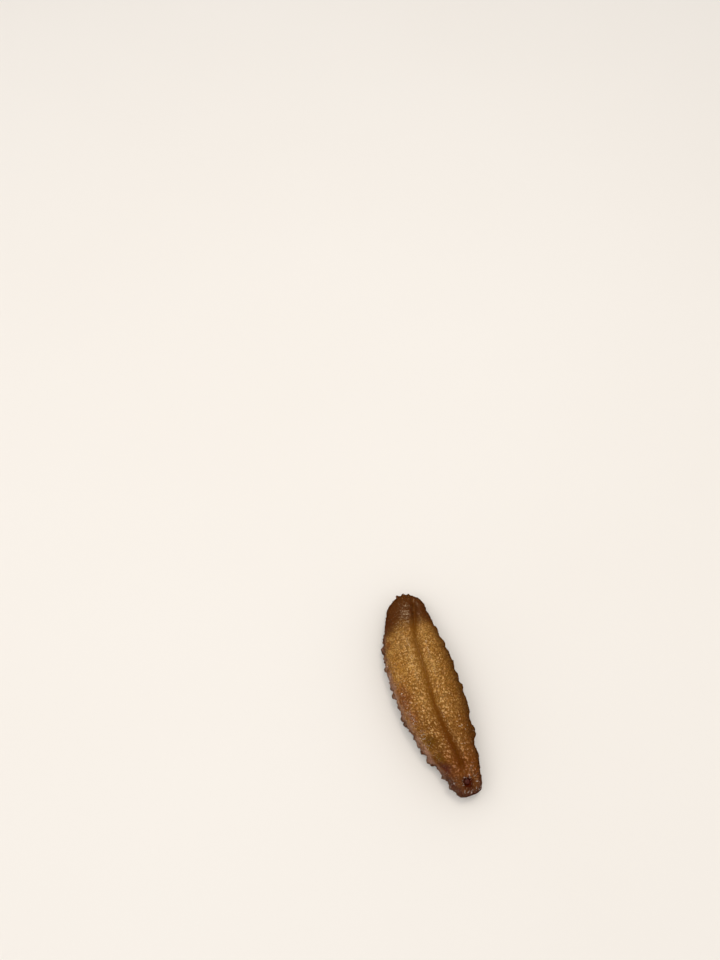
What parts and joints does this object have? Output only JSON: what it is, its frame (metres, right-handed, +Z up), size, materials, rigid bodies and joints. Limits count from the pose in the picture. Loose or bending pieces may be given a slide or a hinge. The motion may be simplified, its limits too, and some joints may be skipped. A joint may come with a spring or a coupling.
{
  "type": "sea cucumber",
  "caption": "Soaked sea cucumber lying on its back, belly slit closed between two lips, conical papillae along both flanks, mouth at one end.",
  "frame": {"origin": "on the floor under the middle of the animal's bounding box", "axes": "+X along the body towards the mouth end, +Y towards the narrower lip, +Z up out of the upturned belly"},
  "size_m": [0.0684, 0.0236, 0.0145],
  "materials": {
    "trunk_skin": "wet, translucent amber brown",
    "end_skin": "wet, translucent dark brown",
    "mouth_flesh": "wet, dark red-brown"
  },
  "bodies": {
    "root": {"vent_end": "end_skin", "hind_trunk": "trunk_skin", "mid_trunk": "trunk_skin", "fore_trunk": "trunk_skin", "oral_end": "end_skin", "tentacle_ring": "mouth_flesh"}
  },
  "joints": []
}
